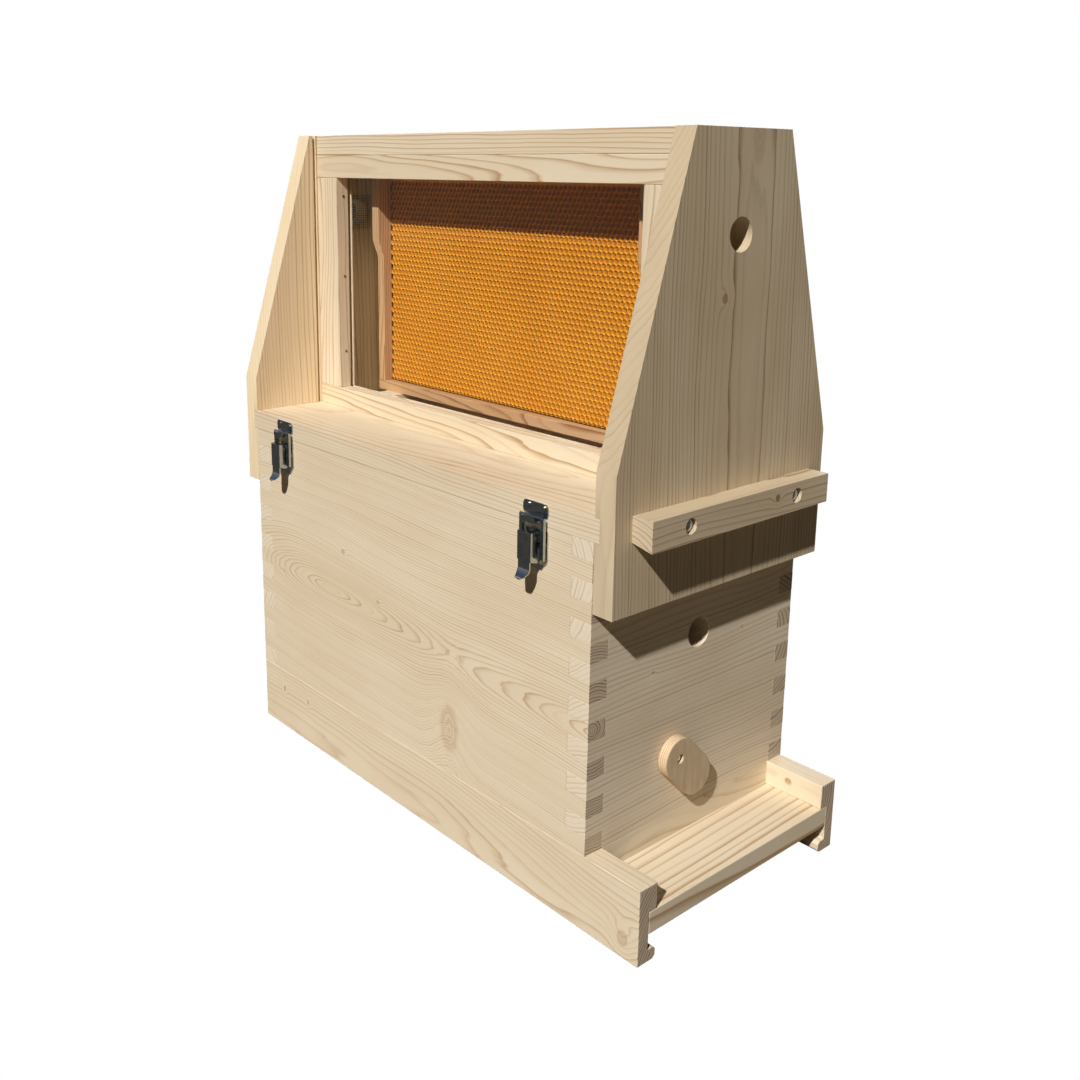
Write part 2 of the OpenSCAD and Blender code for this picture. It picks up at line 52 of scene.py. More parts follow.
# ---------------------------------------------------------------- node helper
class Tree:
    """Short calls that add shader nodes to one node tree and link them."""

    def __init__(self, tree):
        self.tree = tree

    def add(self, kind, settings=None, **inputs):
        node = self.tree.nodes.new(kind)
        for key, value in (settings or {}).items():
            setattr(node, key, value)
        for key, value in inputs.items():
            self.set(node, key.replace("_", " "), value)
        return node

    def set(self, node, key, value):
        """Links or sets an input, which is named by its label, or by i and its number."""
        numbered = key[0] == "i" and key[1:].isdigit()
        socket = node.inputs[int(key[1:]) if numbered else key]
        if isinstance(value, bpy.types.NodeSocket):
            self.tree.links.new(value, socket)
        else:
            socket.default_value = value

    def math(self, operation, a, b=0.0, clamp=False):
        settings = {"operation": operation, "use_clamp": clamp}
        return self.add("ShaderNodeMath", settings, i0=a, i1=b).outputs[0]

    def vector_math(self, operation, a, b=(0.0, 0.0, 0.0)):
        return self.add("ShaderNodeVectorMath", {"operation": operation}, i0=a, i1=b)

    def combine(self, x=0.0, y=0.0, z=0.0):
        return self.add("ShaderNodeCombineXYZ", None, i0=x, i1=y, i2=z).outputs[0]

    def split(self, vector):
        return self.add("ShaderNodeSeparateXYZ", None, i0=vector).outputs

    def scaled(self, vector, factors):
        return self.vector_math("MULTIPLY", vector, factors).outputs[0]

    def dot(self, vector, other):
        return self.vector_math("DOT_PRODUCT", vector, other).outputs["Value"]

    def largest(self, values):
        return functools.reduce(lambda a, b: self.math("MAXIMUM", a, b), values)

    def noise(self, vector, scale, detail=2.0, rough=0.5):
        settings = {"Vector": vector, "Scale": scale, "Detail": detail, "Roughness": rough}
        return self.add("ShaderNodeTexNoise", None, **settings).outputs["Fac"]

    def centred_noise(self, *settings):
        return self.math("SUBTRACT", self.noise(*settings), 0.5)

    def ramp(self, value, stops):
        """A colour ramp; a stop's colour is a linear colour or one grey value."""
        node = self.add("ShaderNodeValToRGB", None, Fac=value)
        while len(node.color_ramp.elements) < len(stops):
            node.color_ramp.elements.new(0.5)
        for element, (place, colour) in zip(node.color_ramp.elements, stops):
            element.position = place
            element.color = colour if hasattr(colour, "__len__") else (colour, colour, colour, 1)
        return node.outputs["Color"]

    def mix(self, fac, a, b):
        node = self.add("ShaderNodeMix", {"data_type": "RGBA"})
        self.set(node, "i0", fac)
        self.set(node, "i6", a)
        self.set(node, "i7", b)
        return node.outputs[2]


class Material(Tree):
    """A new material with the same short calls, around its Principled shader."""

    def __init__(self, name):
        self.mat = bpy.data.materials.new(name)
        self.mat.use_nodes = True
        super().__init__(self.mat.node_tree)
        self.bsdf = self.tree.nodes["Principled BSDF"]
        self.place = None

    def where(self, output="Object"):
        """Coordinates in the part's frame, or the surface normal."""
        if self.place is None:
            self.place = self.add("ShaderNodeTexCoord")
        return self.place.outputs[output]

    def facing(self, axis):
        """1 where the surface faces along the axis, 0 where it runs beside it."""
        return self.math("ABSOLUTE", self.dot(self.where("Normal"), axis))

    def surface(self, **sockets):
        """Sets or links the shader's inputs."""
        for key, value in sockets.items():
            self.set(self.bsdf, key.replace("_", " "), value)

    def bump(self, height, distance, strength):
        node = self.add("ShaderNodeBump", None, Height=height, Distance=distance, Strength=strength)
        self.set(self.bsdf, "Normal", node.outputs["Normal"])


def srgb(r, g, b):
    """A linear colour with alpha 1 from 0-255 screen values."""
    def linear(c):
        c /= 255
        return c / 12.92 if c <= 0.04045 else ((c + 0.055) / 1.055) ** 2.4
    return (linear(r), linear(g), linear(b), 1)


# ---------------------------------------------------------------- wood
SPRUCE = {"early": srgb(232, 217, 190), "mid": srgb(225, 207, 177), "late": srgb(186, 152, 112),
          "end": srgb(196, 176, 152), "end_late": srgb(118, 94, 74), "warm": srgb(217, 192, 156)}
PALE = {"early": srgb(233, 218, 193), "mid": srgb(223, 205, 177), "late": srgb(164, 132, 98),
        "end": srgb(200, 182, 160), "end_late": srgb(142, 104, 66), "warm": srgb(206, 184, 152)}
# a darker copy of the spruce: painted shade for the entrance-end panel and batten, which the key light only
# grazes
SHADED_SPRUCE = {"early": srgb(213, 195, 165), "mid": srgb(201, 180, 147), "late": srgb(138, 108, 76),
         "end": srgb(200, 182, 160), "end_late": srgb(142, 104, 66), "warm": srgb(190, 168, 136)}
# a lighter, warmer copy of the spruce: painted warm bounce light, for the rear panel's inside
WARM_LIT_SPRUCE = {"early": srgb(242, 223, 190), "mid": srgb(237, 214, 175), "late": srgb(186, 148, 104),
         "end": srgb(206, 188, 164), "end_late": srgb(118, 94, 74), "warm": srgb(228, 203, 164)}
BAR = {"early": srgb(216, 178, 136), "mid": srgb(204, 162, 116), "late": srgb(158, 108, 66),
       "end": srgb(168, 126, 88), "end_late": srgb(120, 82, 52), "warm": srgb(196, 148, 104)}
# colour of the painted shadow line in the joint between box and lid
SEAM_SHADOW = srgb(74, 52, 34)
KNOT = srgb(164, 118, 72)
KNOT_RIM = srgb(120, 78, 46)
AXES = {"X": (1, 0, 0), "Y": (0, 1, 0), "Z": (0, 0, 1)}
# the two axes across the grain, then the one along it
GRAIN_ORDER = {"X": (1, 2, 0), "Y": (2, 0, 1), "Z": (0, 1, 2)}

# how much finer each pattern is across the grain than along it
WANDER_STRETCH = 3.0
WAVER_STRETCH = 9.0
FIBRE_STRETCH = 60.0
# largest shift of the rings, in metres: slow wander of the heart, and fine waver of each ring
WANDER = 0.030
WAVER = 0.0035
WANDER_OFFSET = (7.3, 1.9, 4.1)
# how fast the rings close up again away from a knot, and its ragged edge in knot radii
KNOT_FALLOFF = 0.16
KNOT_RAGGED = 0.5
SOLID_KNOT = 0.65
RING_DRIFT = 1.6
LATE_SHARE = 0.62
EDGE_RINGS = 0.35
SEAM_SHADOW_HALF = 0.6 * MM


def heart_of(node, offset):
    """A point for the tree's heart: the centre of a CAD node moved by offset millimetres."""
    low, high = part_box(node)
    return tuple((low + high) / 2 + Vector(offset) * MM)


def stretched(n, axes, factor):
    """The grain axes as one vector, with both cross directions scaled by factor."""
    across_a, across_b, along = axes
    return n.combine(n.math("MULTIPLY", across_a, factor), n.math("MULTIPLY", across_b, factor), along)


def ring_radius(n, axes, lean, wave, bow):
    """Distance from the heart of the tree, which leans, bows and wanders along the board."""
    across_a, across_b, along = axes
    slow_at = stretched(n, axes, WANDER_STRETCH)
    other_at = n.vector_math("ADD", slow_at, WANDER_OFFSET).outputs[0]
    u = n.math("ADD", across_a, n.math("MULTIPLY", along, lean[0]))
    v = n.math("ADD", across_b, n.math("MULTIPLY", along, lean[1]))
    if bow:
        u = n.math("ADD", u, n.math("MULTIPLY", n.math("MULTIPLY", along, along), bow))
    u = n.math("ADD", u, n.math("MULTIPLY", n.centred_noise(slow_at, 4.0, 1.0), WANDER * wave))
    v = n.math("ADD", v, n.math("MULTIPLY", n.centred_noise(other_at, 4.0, 1.0), WANDER * wave))
    radius = n.math("SQRT", n.math("ADD", n.math("MULTIPLY", u, u), n.math("MULTIPLY", v, v)))
    waver = n.centred_noise(stretched(n, axes, WAVER_STRETCH), 9.0, 2.0)
    return n.math("ADD", radius, n.math("MULTIPLY", waver, WAVER))


def part_rings(n, grain, radius, knots):
    """Parts the rings around each knot; gives the new radius and the masks of cores and rims."""
    coords = n.where()
    cores, rims = [], []
    for centre, size, way, tall, strength in knots:
        off = n.vector_math("SUBTRACT", coords, centre).outputs[0]
        branch = n.combine(**{way.lower(): n.dot(off, AXES[way])})
        spread = n.vector_math("SUBTRACT", off, branch).outputs[0]
        spread = n.scaled(spread, tuple(1.0 if axis == grain else 1 / tall for axis in "XYZ"))
        ragged = n.math("MULTIPLY", n.centred_noise(coords, 140.0, 2.0), KNOT_RAGGED)
        away = n.math("MULTIPLY", n.vector_math("LENGTH", spread).outputs["Value"], 1 / size)
        away = n.math("ADD", away, ragged)
        push = n.math("EXPONENT", n.math("MULTIPLY", n.math("MULTIPLY", away, away), -KNOT_FALLOFF))
        lift = 1.3 if strength > 0.4 else 0.2
        radius = n.math("ADD", radius, n.math("MULTIPLY", push, size * tall * lift))
        fade = 3.5 if strength > SOLID_KNOT else 1.5
        core = n.math("MULTIPLY", n.math("SUBTRACT", away, 0.75), fade)
        core = n.math("SUBTRACT", 1.0, core, clamp=True)
        if strength < SOLID_KNOT:
            turn = n.math("SINE", n.math("MULTIPLY", away, 19.0))
            core = n.math("MULTIPLY", core, n.math("ADD", n.math("MULTIPLY", turn, 0.35), 0.75))
        rim = n.math("ABSOLUTE", n.math("MULTIPLY", n.math("SUBTRACT", away, 0.92), 6.0))
        rim = n.math("SUBTRACT", 1.0, rim, clamp=True)
        cores.append(n.math("MULTIPLY", core, strength))
        rims.append(n.math("MULTIPLY", rim, strength ** 2))
    return radius, n.largest(cores), n.largest(rims)


def late_wood(n, radius, ring, contrast):
    """The dark part of each year ring; both its width and its depth change from ring to ring."""
    drift = n.math("MULTIPLY", n.noise(n.combine(radius), 60.0, 2.0), RING_DRIFT)
    turns = n.math("ADD", n.math("MULTIPLY", radius, 1 / (ring * MM)), drift)
    year = n.math("FLOOR", turns)
    depth = n.add("ShaderNodeTexWhiteNoise", {"noise_dimensions": "1D"}, W=year).outputs["Value"]
    profile = [(0.0, 0.30), (0.08, 0.0), (0.62, 0.05), (0.86, 0.55), (0.95, 1.0), (1.0, 0.30)]
    late = n.ramp(n.math("FRACT", turns), profile)
    late = n.math("MULTIPLY", late, n.math("ADD", n.math("MULTIPLY", depth, 0.85), 0.2))
    return n.math("MULTIPLY", late, LATE_SHARE * contrast)


def wood(name, grain, heart, ring=3.0, lean=(0.0, 0.0), knots=(), tone=SPRUCE, contrast=1.0, wave=1.0,
         end=0.6, seam=None, bow=0.0, face=None):
    """Sawn softwood cut from a tree whose heart runs along the grain axis through the point heart.

    ring is the year-ring width in mm, and lean tilts the heart in the two cross directions. Each
    knot is (centre, radius along the grain, branch direction, height to width, strength). end is
    how far the end grain takes its own tone, seam the height of a painted dark shadow line at
    the joint, and bow the curve of the heart away from the first cross direction, per metre. face
    names the axis of the show faces; the rings are fainter on the others.
    """
    n = Material(name)
    coords = n.where()
    local = n.split(n.vector_math("SUBTRACT", coords, heart).outputs[0])
    axes = [local[k] for k in GRAIN_ORDER[grain]]
    radius = ring_radius(n, axes, lean, wave, bow)
    if knots:
        radius, knot_core, knot_rim = part_rings(n, grain, radius, knots)
    late = late_wood(n, radius, ring, contrast)
    if face:
        shown = n.math("MULTIPLY", n.facing(AXES[face]), 1 - EDGE_RINGS)
        late = n.math("MULTIPLY", late, n.math("ADD", shown, EDGE_RINGS))
    # fibres, pores and slow tone changes
    fibre_at = stretched(n, axes, FIBRE_STRETCH)
    fibre = n.noise(fibre_at, 45.0, 3.0, 0.65)
    pore = n.noise(n.scaled(fibre_at, (2.4, 2.4, 2.0)), 45.0, 2.0, 0.6)
    cloud = n.noise(stretched(n, axes, WANDER_STRETCH), 7.0, 2.0)
    colour = n.mix(n.ramp(cloud, [(0.3, 0.0), (0.7, 1.0)]), tone["early"], tone["mid"])
    colour = n.mix(late, colour, tone["late"])
    colour = n.mix(n.ramp(fibre, [(0.45, 0.0), (0.8, 0.30)]), colour, tone["warm"])
    colour = n.mix(n.ramp(pore, [(0.62, 0.0), (0.78, 0.22)]), colour, tone["late"])
    # end grain
    sawn_end = n.ramp(n.facing(AXES[grain]), [(0.55, 0.0), (0.9, 1.0)])
    end_late = n.math("MULTIPLY", late, 0.6 + 2.0 * end, clamp=True)
    end_colour = n.mix(end_late, n.mix(end, tone["early"], tone["end"]), tone["end_late"])
    colour = n.mix(n.math("MULTIPLY", sawn_end, 0.85), colour, end_colour)
    # painted shadow: a dark line at the height of the joint between box and lid
    if seam is not None:
        off_seam = n.math("ABSOLUTE", n.math("SUBTRACT", n.split(coords)[2], seam))
        line = n.math("SUBTRACT", 1.0, n.math("MULTIPLY", off_seam, 1 / SEAM_SHADOW_HALF), clamp=True)
        colour = n.mix(n.math("MULTIPLY", line, 0.5), colour, SEAM_SHADOW)
    if knots:
        knot_colour = n.mix(n.noise(coords, 420.0, 3.0), KNOT, tone["late"])
        colour = n.mix(n.math("MULTIPLY", knot_core, 0.72), colour, knot_colour)
        colour = n.mix(n.math("MULTIPLY", knot_rim, 0.55), colour, KNOT_RIM)
    wear = n.math("ADD", n.math("MULTIPLY", fibre, 0.6), n.math("MULTIPLY", late, 0.4))
    n.surface(Base_Color=colour, Roughness=n.ramp(wear, [(0.0, 0.50), (1.0, 0.72)]),
              Specular_IOR_Level=0.32)
    raised = n.math("ADD", n.math("MULTIPLY", late, 0.35), n.math("MULTIPLY", fibre, 0.65))
    n.bump(raised, 0.18 * MM, 0.55)
    return n


# ---------------------------------------------------------------- metal, glass, wax
CELL = 5.4 * MM
# heights of the foundation's relief from its mid plane: ridges, the ring inside them, pit bottoms
RIDGE_Y = 1.9 * MM
RING_Y = 0.7 * MM
PIT_Y = 0.1 * MM
RING_SHARE = 0.78
SHEET_HALF = 0.9 * MM
PLY_PAIR = 1.9 * MM


def zinc():
    """Bright zinc plating: a near mirror with faint blue and straw patches and rolling marks."""
    n = Material("zinc_plating")
    hues = [(0.3, srgb(160, 172, 184)), (0.5, srgb(184, 188, 190)), (0.7, srgb(190, 186, 172))]
    rolled = n.noise(n.scaled(n.where(), (1.0, 1.0, 0.06)), 2600.0, 2.0)
    n.surface(Base_Color=n.ramp(n.noise(n.where(), 160.0, 3.0), hues), Metallic=1.0,
              Roughness=n.ramp(rolled, [(0.2, 0.10), (0.8, 0.26)]))
    n.bump(rolled, 0.02 * MM, 0.25)
    return n.mat


def wire_metal():
    """Galvanised wire, dull and slightly uneven."""
    n = Material("wire_mesh_metal")
    spangle = n.noise(n.where(), 700.0, 3.0)
    n.surface(Base_Color=n.ramp(spangle, [(0.3, srgb(120, 121, 120)), (0.7, srgb(168, 168, 162))]),
              Metallic=1.0, Roughness=n.ramp(spangle, [(0.3, 0.32), (0.7, 0.5)]))
    n.bump(spangle, 0.02 * MM, 0.3)
    return n.mat


def clear_glass():
    """Thin window glass: it mirrors more at a glancing angle, and carries a faint film of dust."""
    n = Material("clear_glass")
    dust = n.noise(n.where(), 22.0, 5.0, 0.7)
    glancing = n.add("ShaderNodeLayerWeight", None, Blend=0.5).outputs["Facing"]
    mirror = n.math("MULTIPLY", n.math("ADD", n.math("POWER", glancing, 5.0), 0.04), 0.32)
    n.surface(Base_Color=srgb(232, 244, 240), Metallic=1.0,
              Roughness=n.ramp(dust, [(0.45, 0.01), (0.85, 0.08)]),
              Alpha=n.math("ADD", mirror, n.math("MULTIPLY", dust, 0.006)))
    return n.mat


def plywood():
    """Birch plywood: plain sanded faces and edges with alternating light and dark plies."""
    n = Material("birch_plywood")
    coords = n.where()
    across = n.split(coords)[0]
    ply = n.math("SINE", n.math("MULTIPLY", across, 2 * math.pi / PLY_PAIR))
    ply = n.math("ADD", ply, n.math("MULTIPLY", n.noise(coords, 300.0, 2.0), 0.8))
    edge = n.mix(n.ramp(ply, [(0.35, 0.0), (0.75, 1.0)]), srgb(222, 200, 166), srgb(196, 166, 128))
    fibre = n.noise(n.scaled(coords, (20.0, 16.0, 2.0)), 26.0, 4.0, 0.6)
    figure = n.noise(n.scaled(coords, (1.0, 3.0, 0.7)), 60.0, 3.0)
    figure = n.ramp(figure, [(0.35, 0.0), (0.7, 1.0)])
    sanded = n.mix(figure, srgb(212, 190, 158), srgb(196, 168, 132))
    sanded = n.mix(n.ramp(fibre, [(0.5, 0.0), (0.8, 0.35)]), sanded, srgb(186, 152, 112))
    front = n.ramp(n.facing(AXES["X"]), [(0.5, 0.0), (0.8, 1.0)])
    n.surface(Base_Color=n.mix(front, edge, sanded), Roughness=n.ramp(fibre, [(0.0, 0.5), (1.0, 0.7)]),
              Specular_IOR_Level=0.32)
    n.bump(fibre, 0.12 * MM, 0.4)
    return n.mat


def beeswax():
    """Embossed beeswax: orange-yellow, slightly see-through, with painted shade that makes it darker and
    warmer in the pits.
    """
    n = Material("beeswax")
    coords = n.where()
    grain = n.noise(coords, 900.0, 3.0)
    cloud = [(0.25, srgb(230, 160, 44)), (0.75, srgb(242, 180, 60))]
    colour = n.ramp(n.noise(coords, 14.0, 3.0), cloud)
    colour = n.mix(n.ramp(grain, [(0.5, 0.0), (0.85, 0.35)]), colour, srgb(238, 184, 84))
    # painted shade: the wax darkens and warms from the ridges down to the pit bottoms
    height = n.math("MULTIPLY", n.math("ABSOLUTE", n.split(coords)[1]), 1 / RIDGE_Y)
    colour = n.mix(n.ramp(height, [(0.1, 0.85), (0.55, 0.25), (0.95, 0.0)]), colour, srgb(150, 78, 10))
    n.surface(Base_Color=colour, Roughness=n.ramp(grain, [(0.2, 0.36), (0.8, 0.52)]),
              Subsurface_Weight=0.12, Subsurface_Radius=(0.004, 0.002, 0.0008), Specular_IOR_Level=0.45)
    n.bump(grain, 0.04 * MM, 0.35)
    return n.mat


def framed_wax(node):
    """Frame wood, with the colour of beeswax and a cell print of painted shade, dark pits and lit ridges, on
    the thin sheet at mid thickness.
    """
    middle = heart_of(node, (0, 0, 0))
    n = wood("wood_" + node, "X", heart_of(node, (0, 24, -40)), 2.6, tone=BAR, contrast=2.0)
    x, y, z = n.split(n.where())
    # the centres of the cells lie on two rectangular grids, half a pitch apart
    pitches = (CELL, CELL * math.sqrt(3))
    squares = []
    for shift in (0.0, 0.5):
        legs = []
        for axis, pitch in zip((x, z), pitches):
            turns = n.math("ADD", n.math("MULTIPLY", axis, 1 / pitch), shift + 8)
            step = n.math("SUBTRACT", n.math("FRACT", turns), 0.5)
            legs.append(n.math("POWER", n.math("MULTIPLY", step, pitch / CELL), 2.0))
        squares.append(n.math("ADD", *legs))
    # painted shade of the cells' relief on the flat sheet: dark pit centres, lighter ridges
    pit_shade_stops = [(0.0, srgb(176, 104, 20)), (0.10, srgb(220, 148, 40)), (0.30, srgb(242, 186, 76))]
    cell = n.ramp(n.math("MINIMUM", *squares), pit_shade_stops)
    sheet = n.math("LESS_THAN", n.math("ABSOLUTE", n.math("SUBTRACT", y, middle[1])), SHEET_HALF)
    timber = n.bsdf.inputs["Base Color"].links[0].from_socket
    n.surface(Base_Color=n.mix(sheet, timber, cell))
    return n.mat


# ---------------------------------------------------------------- boards
WELD_GAP = 0.01 * MM


def dress(node, material, bevel=0.5):
    """Gives a CAD node its material and eases its edges by bevel millimetres."""
    piece = NODES[node]
    piece.data.materials.clear()
    piece.data.materials.append(material)
    if bevel:
        weld = piece.modifiers.new("weld", "WELD")
        weld.merge_threshold = WELD_GAP
        merge = piece.modifiers.new("flat", "DECIMATE")
        merge.decimate_type = "DISSOLVE"
        merge.angle_limit = math.radians(1)
        ease = piece.modifiers.new("ease", "BEVEL")
        ease.width = bevel * MM
        ease.segments = 2
        ease.limit_method = "ANGLE"
        ease.angle_limit = math.radians(40)
        ease.use_clamp_overlap = True
        shade = piece.modifiers.new("shade", "WEIGHTED_NORMAL")
        shade.keep_sharp = False
        shade.weight = 80


def board(node, grain, offset, ring=3.0, bevel=0.5, **look):
    """Dresses one CAD node in its own cut of wood; offset leads from its centre to the heart, in mm."""
    dress(node, wood("wood_" + node, grain, heart_of(node, offset), ring, **look).mat, bevel)


box_low, box_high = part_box("side_wall_near")
FACE_Y = box_low.y
BOX_REAR, BOX_FRONT = box_low.x, box_high.x
BOX_TOP = box_high.z
PANEL_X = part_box("end_panel_front")[1].x
BATTEN_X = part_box("carry_batten_front")[1].x
RAIL_INNER_Y = 0.1015

# knots: centre, radius along the grain, branch direction, height to width, strength
wall_knots = [((BOX_FRONT - 0.159, FACE_Y, 0.101), 0.0105, "Y", 1.75, 0.5),
              ((BOX_FRONT - 0.313, FACE_Y, 0.215), 0.0030, "Y", 0.8, 0.7),
              ((BOX_FRONT - 0.259, FACE_Y, 0.1825), 0.0022, "Y", 0.8, 0.6),
              ((BOX_FRONT - 0.418, FACE_Y, 0.168), 0.0018, "Y", 0.8, 0.6)]
near_rail_knots = [((BOX_REAR + 0.0365, FACE_Y, 0.041), 0.0016, "Y", 1.8, 0.9),
                   ((BOX_REAR + 0.080, FACE_Y, 0.042), 0.0016, "Y", 1.8, 0.7),
                   ((BOX_FRONT + 0.0398, FACE_Y, 0.016), 0.0045, "Y", 1.3, 0.64)]
far_rail_knots = [((BOX_FRONT + 0.022, RAIL_INNER_Y, 0.052), 0.0028, "Y", 0.8, 0.95)]
# the last one is the faint flame at the panel's top edge
panel_knots = [((PANEL_X, -0.0145, 0.467), 0.0036, "X", 0.8, 1.0),
               ((PANEL_X, 0.015, 0.590), 0.0260, "X", 0.26, 0.38)]
batten_knots = [((BATTEN_X, 0.0377, 0.3155), 0.0026, "X", 1.0, 1.3)]
front_knots = [((BOX_FRONT, -0.052, 0.187), 0.0016, "X", 0.8, 0.8),
               ((BOX_FRONT, 0.055, 0.196), 0.0014, "X", 0.8, 0.8)]

# the heart of the near wall lies just behind its face, so the rings close in long ovals
board("side_wall_near", "X", (64, 9, -15), 2.3, bevel=0.4, lean=(0.0, 0.03), knots=wall_knots,
      contrast=1.6, wave=0.5, end=0.9, seam=BOX_TOP, bow=0.5)
board("side_wall_far", "X", (30, -30, -10), 4.2, bevel=0.4, lean=(0.0, -0.04), contrast=1.2, wave=1.3,
      end=0.9, seam=BOX_TOP)
box_end = dict(bevel=0.4, lean=(0.02, 0.03), contrast=1.4, tone=PALE, end=0.0)
board("front_wall", "Y", (-60, 0, 95), 3.6, knots=front_knots, wave=0.8, **box_end)
board("rear_wall", "Y", (60, 0, -75), 3.8, wave=0.9, **box_end)
rail = dict(bevel=0.8, contrast=1.4, wave=0.8, end=1.0)
board("floor_rail_near", "X", (0, 60, -36), lean=(0.0, 0.03), knots=near_rail_knots, **rail)
board("floor_rail_far", "X", (0, -45, 30), lean=(0.0, 0.02), knots=far_rail_knots, **rail)
board("landing_board", "Y", (-52, 0, -34), 6.4, bevel=0.8, lean=(0.0, 0.02), contrast=2.2, wave=0.3)
board("floor_front_batten", "Y", (-38, 0, 20), bevel=0.4)
board("floor_rear_batten", "Y", (38, 0, 25), bevel=0.4)
board("inspection_tray", "X", (0, 30, -60), 3.4, bevel=0.4)

board("lid_board", "X", (0, -60, -110), bevel=0.7, lean=(0.0, 0.02), contrast=1.7, wave=0.5, seam=BOX_TOP)
panel = dict(bevel=0.7, lean=(0.0, 0.02), wave=0.3, face="X")
# the darker tone of the entrance-end panel is painted shade
board("end_panel_front", "Z", (-46, 14, 0), 3.1, knots=panel_knots, contrast=1.7, tone=SHADED_SPRUCE, end=0.0,
      **panel)
# the rear panel's warmer, lighter tone is painted bounce light
board("end_panel_rear", "Z", (46, -24, 0), 3.1, contrast=1.8, tone=WARM_LIT_SPRUCE, end=0.3, **panel)
# the darker tone of the front batten is painted shade
board("carry_batten_front", "Y", (-20, 0, -50), 3.2, bevel=1.0, lean=(0.0, 0.03), knots=batten_knots,
      contrast=1.5, wave=0.7, tone=SHADED_SPRUCE, end=0.2)
board("carry_batten_rear", "Y", (20, 0, -44), 3.2, bevel=1.0, lean=(0.0, 0.02), contrast=2.0, wave=0.7,
      end=0.2)
board("roof_board", "X", (0, -30, -74), 3.4, bevel=0.7, lean=(0.0, 0.01), contrast=3.4, wave=0.25)
board("comb_rests", "Y", (10, 0, -30))
bar = dict(bevel=0.6, contrast=2.2)
stile = dict(bevel=0.6, contrast=1.8, wave=0.8)
for side, sign in (("near", 1), ("far", -1)):
    board(f"window_{side}_sill", "X", (0, 40 * sign, -26), lean=(0.0, 0.02), wave=0.8, **bar)
    board(f"window_{side}_head", "X", (60, 17 * sign, -14), 4.2, lean=(0.0, 0.03), wave=1.1, **bar)
    board(f"window_{side}_stile_front", "Z", (18, 36 * sign, 0), **stile)
    board(f"window_{side}_stile_rear", "Z", (-22, 32 * sign, 0), **stile)
for node, grain, offset in (("comb_top_bar", "X", (0, 24, -12)), ("comb_bottom_bars", "X", (0, 30, -16)),
                            ("comb_side_bar_front", "Z", (-14, 30, 0)),
                            ("comb_side_bar_rear", "Z", (14, -30, 0))):
    board(node, grain, offset, 2.6, contrast=2.4, tone=BAR)
dress("entrance_disc", plywood(), 0.8)
for number in range(1, 6):
    dress(f"nuc_frame_{number}", framed_wax(f"nuc_frame_{number}"), 0)

METAL = zinc()
for name in NODES:
    if name.startswith("latch_"):
        dress(name, METAL, 0.15)
for name in ("entrance_disc_screw", "batten_screws", "keeper_screws", "window_nails", "frame_runners"):
    dress(name, METAL, 0)
GLASS = clear_glass()
dress("glass_near", GLASS, 0)
dress("glass_far", GLASS, 0)


# ---------------------------------------------------------------- embossed foundation
def add_piece(mesh, name, material, body, node):
    """Turns a closed bmesh into a piece that rides on body and stands for one CAD node."""
    bmesh.ops.recalc_face_normals(mesh, faces=mesh.faces)
    data = bpy.data.meshes.new(name)
    mesh.to_mesh(data)
    mesh.free()
    data.materials.append(material)
    piece = bpy.data.objects.new(name, data)
    bpy.context.scene.collection.objects.link(piece)
    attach(piece, body)
    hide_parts(node)
    return piece


def foundation():
    """Both faces of the wax sheet as one closed mesh of hexagonal pits that share their ridges."""
    low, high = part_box("comb_foundation")
    gap = 0.1 * MM
    lowest_row = 8 * MM
    x0, x1, z0, z1 = low.x + gap, high.x - gap, low.z + lowest_row, high.z - gap
    corner = CELL / math.sqrt(3)
    rise = 1.5 * corner
    mesh = bmesh.new()
    found = {}

    def key_of(x, z, y):
        return tuple(round(value * 1e6) for value in (x, z, y))

    def point(x, z, y):
        x = min(max(x, x0), x1)
        z = min(max(z, z0), z1)
        key = key_of(x, z, y)
        if key not in found:
            found[key] = mesh.verts.new((x, y, z))
        return found[key]

    def face(points):
        unique = list(dict.fromkeys(points))
        if len(unique) > 2 and mesh.faces.get(unique) is None:
            mesh.faces.new(unique)

    turns = [math.radians(30 + 60 * k) for k in range(6)]
    for row in range(int((z1 - z0) / rise) + 2):
        for column in range(int((x1 - x0) / CELL) + 2):
            cx = x0 + (column + 0.5 * (row % 2)) * CELL
            cz = z0 + row * rise
            rim = [(cx + corner * math.cos(t), cz + corner * math.sin(t)) for t in turns]
            inner = [(cx + RING_SHARE * (px - cx), cz + RING_SHARE * (pz - cz)) for px, pz in rim]
            # a cell cut by the edge of the sheet stays flat
            inside = x0 <= cx <= x1 and z0 <= cz <= z1
            ring_y, pit_y = (RING_Y, PIT_Y) if inside else (RIDGE_Y, RIDGE_Y)
            for k in range(6):
                m = (k + 1) % 6
                sides = (rim[k][0], rim[m][0])
                if not inside and (max(sides) <= x0 or min(sides) >= x1):
                    continue
                for y in (-1, 1):
                    quad = [point(*rim[k], y * RIDGE_Y), point(*rim[m], y * RIDGE_Y),
                            point(*inner[m], y * ring_y), point(*inner[k], y * ring_y)]
                    face(quad)
                    face([quad[3], quad[2], point(cx, cz, y * pit_y)])
    # close the four sides between the two relief faces
    for edge in list(mesh.edges):
        a, b = edge.verts
        if len(edge.link_faces) == 1 and a.co.y < 0 and b.co.y < 0:
            back = [found.get(key_of(v.co.x, v.co.z, -v.co.y)) for v in (b, a)]
            if None not in back:
                face([a, b] + back)
    add_piece(mesh, "foundation_cells", beeswax(), "observation_comb", "comb_foundation")


foundation()


# ---------------------------------------------------------------- woven wire
WIRE = wire_metal()
WIRE_SIDES = 6
RINGS_PER_WAVE = 6


